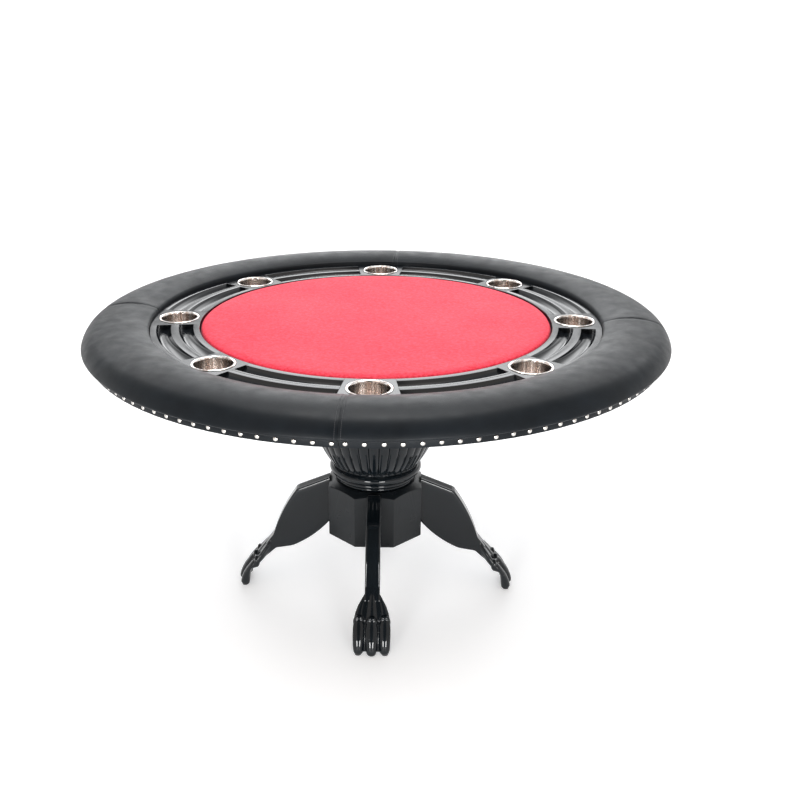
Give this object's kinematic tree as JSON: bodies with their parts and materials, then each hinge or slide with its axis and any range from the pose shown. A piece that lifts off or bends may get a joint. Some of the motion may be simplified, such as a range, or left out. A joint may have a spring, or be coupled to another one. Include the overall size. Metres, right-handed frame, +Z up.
{
  "type": "gaming table",
  "caption": "Round padded-rail card table with a lift-out cloth playing surface, drop-in cup holders, chip trays and a carved urn pedestal on claw-footed legs.",
  "frame": {"origin": "on the floor under the centre of the table", "axes": "+Z up; -Y through the front leg and the front cup holder"},
  "size_m": [1.397, 1.397, 0.75],
  "materials": {
    "deck_lacquer": "gloss black lacquer over routed board",
    "gloss_lacquer": "high gloss black lacquer over turned and carved hardwood",
    "black_vinyl": "satin black vinyl with fine grain",
    "red_cloth": "matt woven card cloth",
    "stainless": "polished",
    "nickel": "bright",
    "foam": "open-cell foam",
    "board": "black-stained board",
    "zinc_steel": "zinc plated",
    "nylon": "satin"
  },
  "bodies": {
    "table": {"brace_back": "board", "brace_front": "board", "brace_left": "board", "brace_right": "board", "brace_screws": "zinc_steel", "chip_tray_1": "deck_lacquer", "chip_tray_2": "deck_lacquer", "chip_tray_3": "deck_lacquer", "chip_tray_4": "deck_lacquer", "chip_tray_5": "deck_lacquer", "chip_tray_6": "deck_lacquer", "chip_tray_7": "deck_lacquer", "chip_tray_8": "deck_lacquer", "cup_plate_1": "deck_lacquer", "cup_plate_2": "deck_lacquer", "cup_plate_3": "deck_lacquer", "cup_plate_4": "deck_lacquer", "cup_plate_5": "deck_lacquer", "cup_plate_6": "deck_lacquer", "cup_plate_7": "deck_lacquer", "cup_plate_8": "deck_lacquer", "foot_glides": "nylon", "hub_bottom_cover": "board", "leg_back": "gloss_lacquer", "leg_bolt_nuts": "zinc_steel", "leg_bolt_washers": "zinc_steel", "leg_bolts": "zinc_steel", "leg_front": "gloss_lacquer", "leg_left": "gloss_lacquer", "leg_right": "gloss_lacquer", "mount_board": "board", "mount_bolts": "zinc_steel", "nail_heads": "nickel", "octagon_hub": "gloss_lacquer", "rail_bolts": "zinc_steel", "rail_core": "board", "rail_pad_1": "black_vinyl", "rail_pad_2": "black_vinyl", "rail_pad_3": "black_vinyl", "rail_pad_4": "black_vinyl", "ring_collar": "gloss_lacquer", "subtop_disc": "board", "tie_rod": "zinc_steel", "tie_rod_nuts": "zinc_steel", "trim_band": "black_vinyl", "urn_column": "gloss_lacquer"},
    "cup_1": {"cup_holder_1": "stainless"},
    "cup_2": {"cup_holder_2": "stainless"},
    "cup_3": {"cup_holder_3": "stainless"},
    "cup_4": {"cup_holder_4": "stainless"},
    "cup_5": {"cup_holder_5": "stainless"},
    "cup_6": {"cup_holder_6": "stainless"},
    "cup_7": {"cup_holder_7": "stainless"},
    "cup_8": {"cup_holder_8": "stainless"},
    "playing_surface": {"playing_board": "board", "foam_pad": "foam", "playing_cloth": "red_cloth"}
  },
  "joints": [
    {"name": "cup_lift_1", "type": "slide", "parent": "table", "child": "cup_1", "axis": [0, 0, 1], "range_m": [0, 0.1]},
    {"name": "cup_lift_2", "type": "slide", "parent": "table", "child": "cup_2", "axis": [0, 0, 1], "range_m": [0, 0.1]},
    {"name": "cup_lift_3", "type": "slide", "parent": "table", "child": "cup_3", "axis": [0, 0, 1], "range_m": [0, 0.1]},
    {"name": "cup_lift_4", "type": "slide", "parent": "table", "child": "cup_4", "axis": [0, 0, 1], "range_m": [0, 0.1]},
    {"name": "cup_lift_5", "type": "slide", "parent": "table", "child": "cup_5", "axis": [0, 0, 1], "range_m": [0, 0.1]},
    {"name": "cup_lift_6", "type": "slide", "parent": "table", "child": "cup_6", "axis": [0, 0, 1], "range_m": [0, 0.1]},
    {"name": "cup_lift_7", "type": "slide", "parent": "table", "child": "cup_7", "axis": [0, 0, 1], "range_m": [0, 0.1]},
    {"name": "cup_lift_8", "type": "slide", "parent": "table", "child": "cup_8", "axis": [0, 0, 1], "range_m": [0, 0.1]},
    {"name": "surface_lift", "type": "slide", "parent": "table", "child": "playing_surface", "axis": [0, 0, 1], "range_m": [0, 0.1]}
  ]
}
